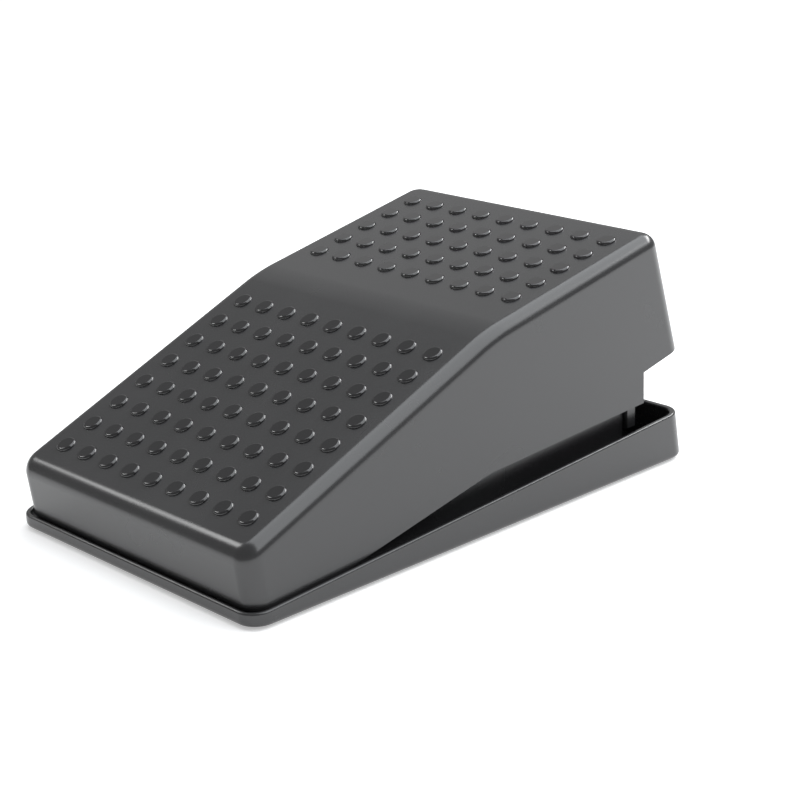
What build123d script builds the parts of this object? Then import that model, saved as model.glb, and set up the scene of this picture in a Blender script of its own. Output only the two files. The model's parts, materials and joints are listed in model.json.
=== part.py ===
from build123d import *
import os
from math import ceil, cos, pi, radians, sin, tan

# USB foot switch: a hollow wedge pedal hinged at its low end over a shallow tray.
# Millimetres. X is the width, Y runs from the low hinge end to the tall end and Z is up.
# The origin is on the ground under the middle of the tray.

# Overall size, standing on the rubber feet
LENGTH = 100.0
WIDTH = 63.0
HEIGHT = 42.0

# Rubber feet, glued in round recesses under the tray
FOOT_RADIUS = 4.5
FOOT_PROUD = 0.4
FOOT_RECESS = 0.8
FOOT_CLEARANCE = 0.15
FOOT_INSET = 9.5
FOOT_SIDES = 24

# Tray moulding
TRAY_WALL = 0.9
TRAY_REAR_WALL = 1.3
TRAY_FLOOR = 1.6
TRAY_CORNER = 3.7
TRAY_BOTTOM_CHAMFER = 0.65
TRAY_REAR_LEAN = 8.7
RIM_HEIGHT = 6.0
SCREEN_GAP = 0.85
SCREEN_WALL = 1.2
SCREEN_OVERLAP = 1.2
SCREEN_FRONT_INSET = 7.0
SCREEN_REAR_INSET = 1.7
RIM_SLOPE = 3.7
RIM_CHAMFER = 0.3

# Pedal moulding: slopes and leans in degrees, the rest in millimetres
PEDAL_WALL = 2.0
PEDAL_CORNER = 3.2
PEDAL_EDGE = 2.4
FRONT_SLOPE = 22.6
REAR_SLOPE = 11.6
FRONT_LEAN = 7.0
BACK_LEAN = 15.5
BEND_Y = 2.75
BEND_RADIUS = 30.0
CROWN_INSET = 8.2
LIP_HEIGHT = 20.4
LIP_DEPTH = 10.8
LIP_SLOPE = 12.6
LIP_CHAMFER = 0.55
SKIRT_KINK_Y = 1.2
SKIRT_KINK_Z = 10.4
SKIRT_FRONT_SLOPE = 12.0
SKIRT_REAR_SLOPE = 3.15
PRESS_ANGLE = 4.0

# Running clearances between the pedal and the tray
SIDE_CLEARANCE = 0.35
FRONT_CLEARANCE = 0.4
FLOOR_CLEARANCE = 0.5
STOP_CLEARANCE = 0.35

# Round grip studs on the two panels of the pedal
STUD_PITCH = 6.0
STUD_RADIUS = 1.7
STUD_HEIGHT = 0.45
STUD_TAPER = 30.0
STUD_SIDES = 8
STUD_COLUMNS = 9
FRONT_ROWS = 8
REAR_ROWS = 5
FRONT_FIRST_ROW = 8.4
REAR_FIRST_ROW = 10.6

# Hinge
HINGE_INSET = 10.0
HINGE_Z = 5.6
PIN_RADIUS = 1.5
PIN_CLEARANCE = 0.08
PIN_END_GAP = 1.05
EAR_RADIUS = 3.1
EAR_THICKNESS = 2.6
EAR_GAP = 0.4
EAR_INSET = 3.65
RING_RADIUS = 2.9
RING_THICKNESS = 0.6
RING_SIDES = 16

# Return spring and its seats
SPRING_Y = 26.0
SPRING_RADIUS = 4.3
SPRING_WIRE = 1.0
SPRING_TURNS = 3.5
SPRING_TOP = 14.5
COIL_STEPS = 16
WIRE_SIDES = 6
PEG_REACH = 2.8
PEG_HEIGHT = 2.6
BOSS_REACH = 6.4
SPRING_END_GAP = 0.15

# Stiffening ribs under the pedal's panels
RIB_X = 11.0
RIB_THICKNESS = 1.4
RIB_DEPTH = 3.0

# Circuit board, screwed down on four square posts
BOARD_WIDTH = 36.0
BOARD_LENGTH = 36.0
BOARD_Y = -6.0
BOARD_THICKNESS = 1.6
BOARD_CORNER = 1.5
POST_HEIGHT = 3.0
POST_SIZE = 4.6
POST_INSET = 3.2
SCREW_RADIUS = 1.0
SCREW_LENGTH = 4.0
SCREW_HEAD_RADIUS = 1.9
SCREW_HEAD = 1.3
SCREW_SLOT = 0.5
SCREW_SIDES = 8
SCREW_HEAD_SIDES = 12
SCREW_CLEARANCE = 0.15

# Lever switch on the board, its long side across the pedal
SWITCH_LENGTH = 19.8
SWITCH_WIDTH = 6.4
SWITCH_HEIGHT = 10.2
SWITCH_X = 5.0
SWITCH_Y = -8.0
SWITCH_HOLE_RADIUS = 1.15
SWITCH_HOLE_RISE = 2.55
SWITCH_HOLE_PITCH = 9.5
TERMINAL_PITCH = 7.4
TERMINAL_WIDTH = 1.6
TERMINAL_THICKNESS = 0.5
TERMINAL_LENGTH = 3.4
TERMINAL_CLEARANCE = 0.15
PLUNGER_LENGTH = 2.4
PLUNGER_WIDTH = 1.6
PLUNGER_PROUD = 1.0
PLUNGER_DEPTH = 2.0
PLUNGER_TRAVEL = 0.55
PLUNGER_CLEARANCE = 0.12
PLUNGER_ROUND = 0.25
PLUNGER_FROM_PIVOT = 5.2
PIVOT_FROM_END = 1.8
PIVOT_RISE = 0.75
LUG_THICKNESS = 0.8
LUG_RADIUS = 0.75
LEVER_PIN_RADIUS = 0.3
LEVER_PIN_CLEARANCE = 0.08
LEVER_BARREL = 0.62
LEVER_WIDTH = 4.2
LEVER_THICKNESS = 0.5
LEVER_REACH = 18.4
LEVER_ANGLE = 10.0
LEVER_CORNER = 1.05
ACTUATOR_FROM_PIVOT = 15.0
ACTUATOR_TIP = 1.7
ACTUATOR_STEP = 2.0
ACTUATOR_GAP = 0.3
ACTUATOR_FIN = 1.2
ACTUATOR_FIN_REACH = 4.2

# Small parts soldered to the board
CHIP_WIDTH = 3.9
CHIP_LENGTH = 9.9
CHIP_HEIGHT = 1.5
CHIP_CHAMFER = 0.22
CHIP_LEADS = 8
LEAD_PITCH = 1.27
LEAD_WIDTH = 0.42
LEAD_THICKNESS = 0.22
LEAD_REACH = 1.05
CHIP_STANDOFF = 0.15
CHIP_X = -11.5
CRYSTAL_LENGTH = 11.0
CRYSTAL_WIDTH = 4.6
CRYSTAL_HEIGHT = 3.4
CRYSTAL_FLANGE = 0.45
CRYSTAL_X = -9.0
CRYSTAL_FROM_SWITCH = 3.4
CHIP_PART_LENGTH = 2.0
CHIP_PART_WIDTH = 1.25
CHIP_PART_HEIGHT = 0.6
CHIP_PART_CAP = 0.5
CHIP_PART_INSET = 0.06
CHIP_PART_COUNT = 4
CHIP_PART_PITCH = 4.5
CHIP_PART_ROW_GAP = 3.6
CAPACITOR_RADIUS = 2.5
CAPACITOR_HEIGHT = 6.0
CAPACITOR_X = 11.0
HEADER_PINS = 4
HEADER_PITCH = 2.0
HEADER_END = 1.9
HEADER_WIDTH = 4.5
HEADER_HEIGHT = 6.0
HEADER_WALL = 0.7
HEADER_PIN = 0.5
HEADER_X = 3.0
HEADER_EDGE = 0.5

# Rubber cable grommet in the rear wall of the tray
CABLE_RADIUS = 1.9
GROMMET_NECK = 2.8
GROMMET_NECK_CORNER = 0.9
GROMMET_FLANGE = 3.8
GROMMET_LIP = 1.0
GROMMET_CLEARANCE = 0.05
GROMMET_FLOOR_GAP = 0.4

# Values worked out from the sizes above
HALF_LENGTH = LENGTH / 2
HALF_WIDTH = WIDTH / 2
HINGE_Y = HINGE_INSET - HALF_LENGTH
TRAY_BOTTOM = FOOT_PROUD
FLOOR_TOP = TRAY_BOTTOM + TRAY_FLOOR
TRAY_INSIDE = HALF_WIDTH - TRAY_WALL
PEDAL_HALF = TRAY_INSIDE - SIDE_CLEARANCE
PEDAL_INSIDE = PEDAL_HALF - PEDAL_WALL
PEDAL_FRONT = TRAY_WALL + FRONT_CLEARANCE - HALF_LENGTH
PEDAL_BOTTOM = FLOOR_TOP + FLOOR_CLEARANCE
REAR_WALL_Y = HALF_LENGTH - LIP_DEPTH
PEDAL_EAR_FACE = PEDAL_INSIDE - EAR_INSET
PEDAL_EAR_X = PEDAL_EAR_FACE - EAR_THICKNESS
TRAY_EAR_X = PEDAL_EAR_X - EAR_GAP - EAR_THICKNESS
PIN_HALF = PEDAL_INSIDE - PIN_END_GAP
SCREEN_X = PEDAL_INSIDE - SCREEN_GAP - SCREEN_WALL
SCREEN_FRONT = HINGE_Y + SCREEN_FRONT_INSET
SCREEN_REAR = REAR_WALL_Y - PEDAL_WALL - SCREEN_REAR_INSET
CROWN_Y = HALF_LENGTH - CROWN_INSET
CROWN_Z = HEIGHT - PEDAL_EDGE
BELOW = -HEIGHT
BEYOND = LENGTH


def rise(degrees):
    return tan(radians(degrees))


def rear_panel_z(y):
    # The panel is tangent to the round crown at the tall end.
    return CROWN_Z + PEDAL_EDGE / cos(radians(REAR_SLOPE)) + (y - CROWN_Y) * rise(REAR_SLOPE)


BEND_Z = rear_panel_z(BEND_Y)


def front_panel_z(y):
    return BEND_Z + (y - BEND_Y) * rise(FRONT_SLOPE)


def panel_z(y):
    return min(rear_panel_z(y), front_panel_z(y))


def front_face_y(z):
    return PEDAL_FRONT - (z - PEDAL_BOTTOM) * rise(FRONT_LEAN)


def back_face_y(z):
    # The back is tangent to the same round crown.
    return CROWN_Y + PEDAL_EDGE / cos(radians(BACK_LEAN)) + (CROWN_Z - z) * rise(BACK_LEAN)


def rim_z(y):
    return RIM_HEIGHT + y * rise(RIM_SLOPE)


def tray_rear_y(z):
    return HALF_LENGTH - (z - TRAY_BOTTOM) * rise(TRAY_REAR_LEAN)


def skirt_z(y):
    slope = SKIRT_REAR_SLOPE if y > SKIRT_KINK_Y else SKIRT_FRONT_SLOPE
    return max(PEDAL_BOTTOM, SKIRT_KINK_Z + (y - SKIRT_KINK_Y) * rise(slope))


def meet(y_of_z, z_of_y, y):
    # Where a steep line and a shallow line cross, closed in on step by step.
    for _ in range(40):
        y = y_of_z(z_of_y(y))
    return (y, z_of_y(y))


FRONT_TOP = meet(front_face_y, front_panel_z, PEDAL_FRONT)
BACK_TOP = meet(back_face_y, rear_panel_z, CROWN_Y)
TRAY_REAR_TOP = meet(tray_rear_y, rim_z, HALF_LENGTH)
LIP_POINT = (back_face_y(LIP_HEIGHT), LIP_HEIGHT)
NOTCH_TOP = LIP_HEIGHT - (LIP_POINT[0] - REAR_WALL_Y) * rise(LIP_SLOPE)
PEDAL_OUTLINE = [
    (front_face_y(BELOW), BELOW),
    FRONT_TOP,
    (BEND_Y, BEND_Z),
    BACK_TOP,
    LIP_POINT,
    (REAR_WALL_Y, NOTCH_TOP),
    (REAR_WALL_Y, BELOW),
]
FRONT_PANEL = Plane(
    origin=(0, BEND_Y, BEND_Z),
    x_dir=(1, 0, 0),
    z_dir=(0, -sin(radians(FRONT_SLOPE)), cos(radians(FRONT_SLOPE))),
)
REAR_PANEL = Plane(
    origin=(0, BEND_Y, BEND_Z),
    x_dir=(1, 0, 0),
    z_dir=(0, -sin(radians(REAR_SLOPE)), cos(radians(REAR_SLOPE))),
)

os.makedirs("parts", exist_ok=True)


def save(builder, name):
    builder.part.label = name
    export_step(builder.part, f"parts/{name}.step")


# Tray: a shallow open box with a sloping rim, a leaning rear wall and round corners
tray_outline = [
    (-HALF_LENGTH, TRAY_BOTTOM),
    (-HALF_LENGTH, rim_z(-HALF_LENGTH)),
    TRAY_REAR_TOP,
    (HALF_LENGTH, TRAY_BOTTOM),
]
hollow_rear = tray_rear_y(FLOOR_TOP) - TRAY_REAR_WALL
hollow_outline = [
    (TRAY_WALL - HALF_LENGTH, FLOOR_TOP),
    (TRAY_WALL - HALF_LENGTH, HEIGHT),
    (hollow_rear - (HEIGHT - FLOOR_TOP) * rise(TRAY_REAR_LEAN), HEIGHT),
    (hollow_rear, FLOOR_TOP),
]
with BuildPart() as tray_hollow:
    with BuildSketch(Plane.YZ):
        with BuildLine():
            Polyline(hollow_outline, close=True)
        make_face()
    extrude(amount=TRAY_INSIDE, both=True)
    uprights = tray_hollow.edges().filter_by(lambda e: abs(e.tangent_at(0.5).Z) > 0.9)
    fillet(uprights, TRAY_CORNER - TRAY_WALL)

foot_spots = [
    (x, y)
    for x in (FOOT_INSET - HALF_WIDTH, HALF_WIDTH - FOOT_INSET)
    for y in (FOOT_INSET - HALF_LENGTH, HALF_LENGTH - FOOT_INSET)
]
post_spots = [
    (x, BOARD_Y + y)
    for x in (POST_INSET - BOARD_WIDTH / 2, BOARD_WIDTH / 2 - POST_INSET)
    for y in (POST_INSET - BOARD_LENGTH / 2, BOARD_LENGTH / 2 - POST_INSET)
]
BOARD_BOTTOM = FLOOR_TOP + POST_HEIGHT
BOARD_TOP = BOARD_BOTTOM + BOARD_THICKNESS
GROMMET_HEIGHT = FLOOR_TOP + GROMMET_FLANGE + GROMMET_FLOOR_GAP
grommet_y = tray_rear_y(GROMMET_HEIGHT)
REAR_WALL_FACE = Plane(
    origin=(0, grommet_y, GROMMET_HEIGHT),
    x_dir=(-1, 0, 0),
    z_dir=(0, cos(radians(TRAY_REAR_LEAN)), sin(radians(TRAY_REAR_LEAN))),
)
REAR_WALL_THICKNESS = TRAY_REAR_WALL * cos(radians(TRAY_REAR_LEAN))


def neck_outline(half, top):
    # A square neck with its two lower corners cut off.
    return [
        (-half, top),
        (-half, GROMMET_NECK_CORNER - half),
        (GROMMET_NECK_CORNER - half, -half),
        (half - GROMMET_NECK_CORNER, -half),
        (half, GROMMET_NECK_CORNER - half),
        (half, top),
    ]


screen_outline = [
    (y, skirt_z(y) + SCREEN_OVERLAP) for y in (SCREEN_FRONT, SKIRT_KINK_Y, SCREEN_REAR)
]
screen_outline += [(SCREEN_REAR, FLOOR_TOP), (SCREEN_FRONT, FLOOR_TOP)]

with BuildPart() as base_tray:
    with BuildSketch(Plane.YZ):
        with BuildLine():
            Polyline(tray_outline, close=True)
        make_face()
    extrude(amount=HALF_WIDTH, both=True)
    uprights = base_tray.edges().filter_by(lambda e: abs(e.tangent_at(0.5).Z) > 0.9)
    fillet(uprights, TRAY_CORNER)
    chamfer(base_tray.faces().sort_by(Axis.Z)[0].edges(), TRAY_BOTTOM_CHAMFER)
    add(tray_hollow.part, mode=Mode.SUBTRACT)
    rim = base_tray.faces().sort_by(Axis.Z)[-1]
    chamfer(rim.edges(), RIM_CHAMFER)
    # Recesses for the feet
    with BuildSketch(Plane.XY.offset(TRAY_BOTTOM)):
        with Locations(foot_spots):
            RegularPolygon(FOOT_RADIUS + FOOT_CLEARANCE, FOOT_SIDES)
    extrude(amount=FOOT_RECESS, mode=Mode.SUBTRACT)
    # Square posts for the board, with a pilot bore for each screw
    with BuildSketch(Plane.XY.offset(FLOOR_TOP)):
        with Locations(post_spots):
            Rectangle(POST_SIZE, POST_SIZE)
    extrude(amount=POST_HEIGHT)
    with BuildSketch(Plane.XY.offset(BOARD_BOTTOM)):
        with Locations(post_spots):
            RegularPolygon(SCREW_RADIUS, SCREW_SIDES)
    extrude(amount=BOARD_THICKNESS - SCREW_LENGTH - SCREW_CLEARANCE, mode=Mode.SUBTRACT)
    # Crossed fins that keep the spring in its place
    with BuildSketch(Plane.XY.offset(FLOOR_TOP)):
        with Locations((0, SPRING_Y)):
            Rectangle(2 * PEG_REACH, RIB_THICKNESS)
            Rectangle(RIB_THICKNESS, 2 * PEG_REACH)
    extrude(amount=PEG_HEIGHT)
    # Two upright hinge ears with the bore of the pin
    for side in (-1, 1):
        with BuildSketch(Plane.YZ.offset(side * TRAY_EAR_X)):
            with Locations((HINGE_Y, HINGE_Z)):
                Circle(EAR_RADIUS)
            with Locations((HINGE_Y, (HINGE_Z + FLOOR_TOP) / 2)):
                Rectangle(2 * EAR_RADIUS, HINGE_Z - FLOOR_TOP)
            with Locations((HINGE_Y, HINGE_Z)):
                Circle(PIN_RADIUS, mode=Mode.SUBTRACT)
        extrude(amount=side * EAR_THICKNESS)
    # Inner side walls that screen the works where the skirt stands clear of the rim
    for side in (-1, 1):
        with BuildSketch(Plane.YZ.offset(side * SCREEN_X)):
            with BuildLine():
                Polyline(screen_outline, close=True)
            make_face()
        extrude(amount=side * SCREEN_WALL)
    # Notch for the neck of the cable grommet
    with BuildSketch(REAR_WALL_FACE.offset(GROMMET_LIP)):
        with BuildLine():
            Polyline(neck_outline(GROMMET_NECK, 2 * GROMMET_HEIGHT), close=True)
        make_face()
    extrude(amount=-GROMMET_LIP - 2 * TRAY_REAR_WALL, mode=Mode.SUBTRACT)
save(base_tray, "base_tray")

# Rubber feet, four alike
for number, spot in enumerate(foot_spots, start=1):
    with BuildPart() as rubber_foot:
        with BuildSketch(Plane.XY):
            with Locations(spot):
                RegularPolygon(FOOT_RADIUS, FOOT_SIDES)
        extrude(amount=FOOT_PROUD + FOOT_RECESS)
    save(rubber_foot, f"rubber_foot_{number}")

# Cable grommet: a neck in the notch between two flanges, with the cable bore
with BuildPart() as cable_grommet:
    with BuildSketch(REAR_WALL_FACE):
        with BuildLine():
            Polyline(neck_outline(GROMMET_NECK - GROMMET_CLEARANCE, GROMMET_FLANGE), close=True)
        make_face()
    extrude(amount=-REAR_WALL_THICKNESS)
    for start, depth in ((0.0, 2 * GROMMET_LIP), (-REAR_WALL_THICKNESS, -GROMMET_LIP)):
        with BuildSketch(REAR_WALL_FACE.offset(start)):
            Circle(GROMMET_FLANGE)
            with Locations((0, GROMMET_FLANGE / 2)):
                Rectangle(2 * GROMMET_FLANGE, GROMMET_FLANGE)
        extrude(amount=depth)
    with BuildSketch(Plane.XZ.offset(-grommet_y - BEYOND / 2)):
        with Locations((0, TRAY_REAR_TOP[1] - RIM_CHAMFER + BEYOND / 2)):
            Rectangle(BEYOND, BEYOND)
    extrude(amount=BEYOND, mode=Mode.SUBTRACT)
    # Its outer face stands upright, level with the foot of the leaning wall
    with BuildSketch(Plane.XZ.offset(-HALF_LENGTH)):
        Rectangle(BEYOND, BEYOND)
    extrude(amount=-BEYOND, mode=Mode.SUBTRACT)
    with BuildSketch(REAR_WALL_FACE.offset(2 * GROMMET_LIP)):
        Circle(CABLE_RADIUS)
    extrude(amount=-4 * GROMMET_LIP - REAR_WALL_THICKNESS, mode=Mode.SUBTRACT)
save(cable_grommet, "cable_grommet")

# Pedal cover: the wedge shell, its studs, ribs, hinge ears, spring boss and actuator
PIVOT_X = SWITCH_X + SWITCH_LENGTH / 2 - PIVOT_FROM_END
SWITCH_BOTTOM = BOARD_TOP
SWITCH_TOP = SWITCH_BOTTOM + SWITCH_HEIGHT
PIVOT_Z = SWITCH_TOP + PIVOT_RISE
ACTUATOR_X = PIVOT_X - ACTUATOR_FROM_PIVOT
LEVER_TOP = (
    PIVOT_Z
    + ACTUATOR_FROM_PIVOT * rise(LEVER_ANGLE)
    + LEVER_THICKNESS / 2 / cos(radians(LEVER_ANGLE))
)
ACTUATOR_END = LEVER_TOP + ACTUATOR_TIP * rise(LEVER_ANGLE) + ACTUATOR_GAP
SPRING_BOTTOM = FLOOR_TOP + SPRING_END_GAP
BOSS_BOTTOM = SPRING_TOP + SPRING_END_GAP
PRESS_DROP = (REAR_WALL_Y - HINGE_Y) * sin(radians(PRESS_ANGLE))
TONGUE_BOTTOM = HINGE_Z + (FLOOR_TOP + STOP_CLEARANCE - HINGE_Z + PRESS_DROP) / cos(
    radians(PRESS_ANGLE)
)


def wedge(inset, half_width):
    # The wedge's side profile, set in by a wall, drawn out to both sides.
    with BuildPart() as body:
        with BuildSketch(Plane.YZ) as profile:
            with BuildLine():
                Polyline(PEDAL_OUTLINE, close=True)
            make_face()
            if inset > 0:
                offset(amount=-inset, kind=Kind.INTERSECTION)
            bend = profile.vertices().sort_by_distance((BEND_Y, BEND_Z))[0]
            fillet(bend, BEND_RADIUS - inset)
        extrude(amount=half_width, both=True)
    return body.part


def ceiling_z(y):
    rear = rear_panel_z(y) - PEDAL_WALL / cos(radians(REAR_SLOPE))
    front = front_panel_z(y) - PEDAL_WALL / cos(radians(FRONT_SLOPE))
    return min(rear, front)


rib_front = front_face_y(PEDAL_BOTTOM)
rib_rear = REAR_WALL_Y
rib_outline = [(y, HEIGHT) for y in (rib_front, BEND_Y, rib_rear)]
rib_outline += [(y, ceiling_z(y) - RIB_DEPTH) for y in (rib_rear, BEND_Y, rib_front)]
ear_outline = [
    (HINGE_Y - EAR_RADIUS, HINGE_Z),
    (HINGE_Y - EAR_RADIUS, HEIGHT),
    (HINGE_Y + EAR_RADIUS, HEIGHT),
    (HINGE_Y + EAR_RADIUS, HINGE_Z),
]
with BuildPart() as pedal_fittings:
    # Long ribs under both panels
    for side in (-1, 1):
        with BuildSketch(Plane.YZ.offset(side * RIB_X)):
            with BuildLine():
                Polyline(rib_outline, close=True)
            make_face()
        extrude(amount=RIB_THICKNESS / 2, both=True)
    # Hinge ears, outside those of the tray
    for side in (-1, 1):
        with BuildSketch(Plane.YZ.offset(side * PEDAL_EAR_X)):
            with BuildLine():
                Polyline(ear_outline, close=True)
            make_face()
            with Locations((HINGE_Y, HINGE_Z)):
                Circle(EAR_RADIUS)
                Circle(PIN_RADIUS + PIN_CLEARANCE, mode=Mode.SUBTRACT)
        extrude(amount=side * EAR_THICKNESS)
    # Spring boss and actuator: crossed fins from the ceiling, stepped in at their ends.
    # The boss reaches into the spring, and the actuator stands over the switch lever.
    for spot, bottom, reach, thickness in (
        ((0, SPRING_Y), BOSS_BOTTOM, BOSS_REACH, RIB_THICKNESS),
        ((0, SPRING_Y), BOSS_BOTTOM - PEG_HEIGHT, PEG_REACH, RIB_THICKNESS),
        ((ACTUATOR_X, SWITCH_Y), ACTUATOR_END + ACTUATOR_STEP, ACTUATOR_FIN_REACH, ACTUATOR_FIN),
        ((ACTUATOR_X, SWITCH_Y), ACTUATOR_END, ACTUATOR_TIP, ACTUATOR_FIN),
    ):
        with BuildSketch(Plane.XY.offset(bottom)):
            with Locations(spot):
                Rectangle(2 * reach, thickness)
                Rectangle(thickness, 2 * reach)
        extrude(amount=HEIGHT - bottom)
    add(wedge(PEDAL_WALL / 2, PEDAL_INSIDE), mode=Mode.INTERSECT)

skirt_bottom_y = SKIRT_KINK_Y - (SKIRT_KINK_Z - PEDAL_BOTTOM) / rise(SKIRT_FRONT_SLOPE)
below_skirt = [
    (-BEYOND, PEDAL_BOTTOM),
    (skirt_bottom_y, PEDAL_BOTTOM),
    (SKIRT_KINK_Y, SKIRT_KINK_Z),
    (BEYOND, skirt_z(BEYOND)),
    (BEYOND, BELOW - BEYOND),
    (-BEYOND, BELOW - BEYOND),
]


def on_top_edge(edge):
    spot = edge.center()
    inner_seam = abs(spot.X) < PEDAL_HALF / 2 and abs(spot.Y - BEND_Y) < BEND_RADIUS
    return spot.Z > panel_z(spot.Y) - PEDAL_WALL / 2 and not inner_seam


with BuildPart() as pedal_cover:
    add(wedge(0, PEDAL_HALF))
    uprights = pedal_cover.edges().filter_by(lambda e: abs(e.tangent_at(0.5).Z) > 0.9)
    fillet(uprights, PEDAL_CORNER)
    fillet(pedal_cover.edges().filter_by(on_top_edge), PEDAL_EDGE)
    lip_edges = pedal_cover.edges().filter_by(
        lambda e: abs(e.center().Z - LIP_HEIGHT) < LIP_CHAMFER
    )
    chamfer(lip_edges, LIP_CHAMFER)
    add(wedge(PEDAL_WALL, PEDAL_INSIDE), mode=Mode.SUBTRACT)
    with BuildSketch(Plane.YZ):
        with BuildLine():
            Polyline(below_skirt, close=True)
        make_face()
    extrude(amount=BEYOND, both=True, mode=Mode.SUBTRACT)
    # The wall under the lip reaches down behind the tray's rim
    with BuildSketch(Plane.XY.offset(TONGUE_BOTTOM)):
        with Locations((0, REAR_WALL_Y - PEDAL_WALL / 2)):
            Rectangle(2 * PEDAL_INSIDE, PEDAL_WALL)
    extrude(amount=NOTCH_TOP - TONGUE_BOTTOM)
    add(pedal_fittings.part)
    # Studs in rows and columns on the front panel and the rear panel
    for panel, rows, first, way in (
        (FRONT_PANEL, FRONT_ROWS, FRONT_FIRST_ROW, -1),
        (REAR_PANEL, REAR_ROWS, REAR_FIRST_ROW, 1),
    ):
        middle = way * (first + STUD_PITCH * (rows - 1) / 2)
        with BuildSketch(panel):
            with Locations((0, middle)):
                with GridLocations(STUD_PITCH, STUD_PITCH, STUD_COLUMNS, rows):
                    RegularPolygon(STUD_RADIUS, STUD_SIDES)
        extrude(amount=STUD_HEIGHT, taper=STUD_TAPER)
save(pedal_cover, "pedal_cover")

# Hinge pin, held in the tray's ears, and the push-on ring near each end of it
with BuildPart() as hinge_pin:
    with BuildSketch(Plane.YZ):
        with Locations((HINGE_Y, HINGE_Z)):
            Circle(PIN_RADIUS)
    extrude(amount=PIN_HALF, both=True)
save(hinge_pin, "hinge_pin")

with BuildPart() as pin_retaining_rings:
    for side in (-1, 1):
        with BuildSketch(Plane.YZ.offset(side * (PEDAL_EAR_FACE + EAR_GAP))):
            with Locations((HINGE_Y, HINGE_Z)):
                RegularPolygon(RING_RADIUS, RING_SIDES)
                RegularPolygon(
                    PIN_RADIUS, RING_SIDES, major_radius=False, mode=Mode.SUBTRACT
                )
        extrude(amount=side * RING_THICKNESS)
save(pin_retaining_rings, "pin_retaining_rings")

# Return spring, wound about an upright axis in short straight steps
spring_rise = SPRING_TOP - SPRING_BOTTOM - SPRING_WIRE
coil_steps = ceil(SPRING_TURNS * COIL_STEPS)
coil_points = []
for step in range(coil_steps + 1):
    angle = 2 * pi * SPRING_TURNS * step / coil_steps
    height = SPRING_BOTTOM + SPRING_WIRE / 2 + spring_rise * step / coil_steps
    coil_points.append((SPRING_RADIUS * cos(angle), SPRING_Y + SPRING_RADIUS * sin(angle), height))
with BuildPart() as return_spring:
    with BuildLine() as coil:
        Polyline(coil_points)
    with BuildSketch(Plane(origin=coil.line @ 0, z_dir=coil.line % 0)):
        RegularPolygon(SPRING_WIRE / 2, WIRE_SIDES)
    sweep(path=coil.line, transition=Transition.RIGHT)
save(return_spring, "return_spring")

# Circuit board with its screw holes and the slots of what is soldered through it
TERMINAL_SPOTS = [(SWITCH_X + step * TERMINAL_PITCH, SWITCH_Y) for step in (-1, 0, 1)]
HEADER_Y = BOARD_Y + BOARD_LENGTH / 2 - HEADER_WIDTH / 2 - HEADER_EDGE
header_first = HEADER_X - HEADER_PITCH * (HEADER_PINS - 1) / 2
HEADER_SPOTS = [(header_first + HEADER_PITCH * pin, HEADER_Y) for pin in range(HEADER_PINS)]
with BuildPart() as circuit_board:
    with BuildSketch(Plane.XY.offset(BOARD_BOTTOM)):
        with Locations((0, BOARD_Y)):
            RectangleRounded(BOARD_WIDTH, BOARD_LENGTH, BOARD_CORNER)
        with Locations(post_spots):
            RegularPolygon(SCREW_RADIUS + SCREW_CLEARANCE, SCREW_SIDES, mode=Mode.SUBTRACT)
        with Locations(TERMINAL_SPOTS):
            Rectangle(
                TERMINAL_THICKNESS + 2 * TERMINAL_CLEARANCE,
                TERMINAL_WIDTH + 2 * TERMINAL_CLEARANCE,
                mode=Mode.SUBTRACT,
            )
        with Locations(HEADER_SPOTS):
            Rectangle(2 * HEADER_PIN, 2 * HEADER_PIN, mode=Mode.SUBTRACT)
    extrude(amount=BOARD_THICKNESS)
save(circuit_board, "circuit_board")

# Four screws, each with a slot in its head
with BuildPart() as board_screws:
    with BuildSketch(Plane.XY.offset(BOARD_TOP - SCREW_LENGTH)):
        with Locations(post_spots):
            RegularPolygon(SCREW_RADIUS, SCREW_SIDES)
    extrude(amount=SCREW_LENGTH)
    with BuildSketch(Plane.XY.offset(BOARD_TOP)):
        with Locations(post_spots):
            RegularPolygon(SCREW_HEAD_RADIUS, SCREW_HEAD_SIDES)
    extrude(amount=SCREW_HEAD)
    with BuildSketch(Plane.XY.offset(BOARD_TOP + SCREW_HEAD)):
        with Locations(post_spots):
            Rectangle(2 * SCREW_HEAD_RADIUS, SCREW_SLOT)
    extrude(amount=-SCREW_HEAD / 2, mode=Mode.SUBTRACT)
save(board_screws, "board_screws")

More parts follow.
